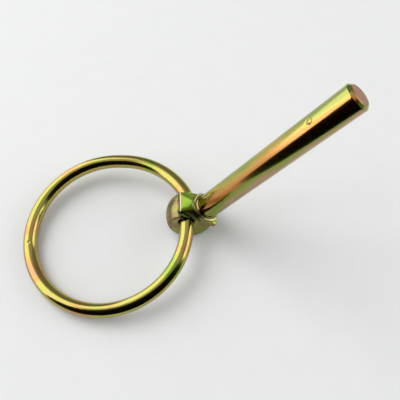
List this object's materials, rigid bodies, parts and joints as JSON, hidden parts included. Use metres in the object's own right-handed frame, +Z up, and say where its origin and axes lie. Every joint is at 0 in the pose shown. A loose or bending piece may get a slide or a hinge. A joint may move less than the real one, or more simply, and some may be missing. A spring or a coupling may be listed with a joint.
{
  "type": "lynch pin",
  "caption": "Lynch pin: a steel shank with a forged head and a spring-wire ring that turns in the head's cross hole, to lock a drawbar or implement pin.",
  "frame": {"origin": "on the ground, half-way between the ring's far side and the shank's tip", "axes": "+X forward, below the raised shank; +Y along the head's cross hole; +Z up from the ground that the ring and the head's heel lie on"},
  "size_m": [0.113, 0.065, 0.0751],
  "materials": {
    "plated_forging": "glossy yellow zinc plate over forged steel, iridescent green to pink",
    "plated_wire": "glossy yellow zinc plate over drawn spring wire"
  },
  "bodies": {
    "pin": {"pin": "plated_forging"},
    "ring": {"ring": "plated_wire"}
  },
  "joints": [
    {"name": "ring_swing", "type": "hinge", "parent": "pin", "child": "ring", "pos_m": [0.00566, 0.00656, 0.01043], "axis": [0, 1, 0], "range_deg": [-215, 127]}
  ]
}
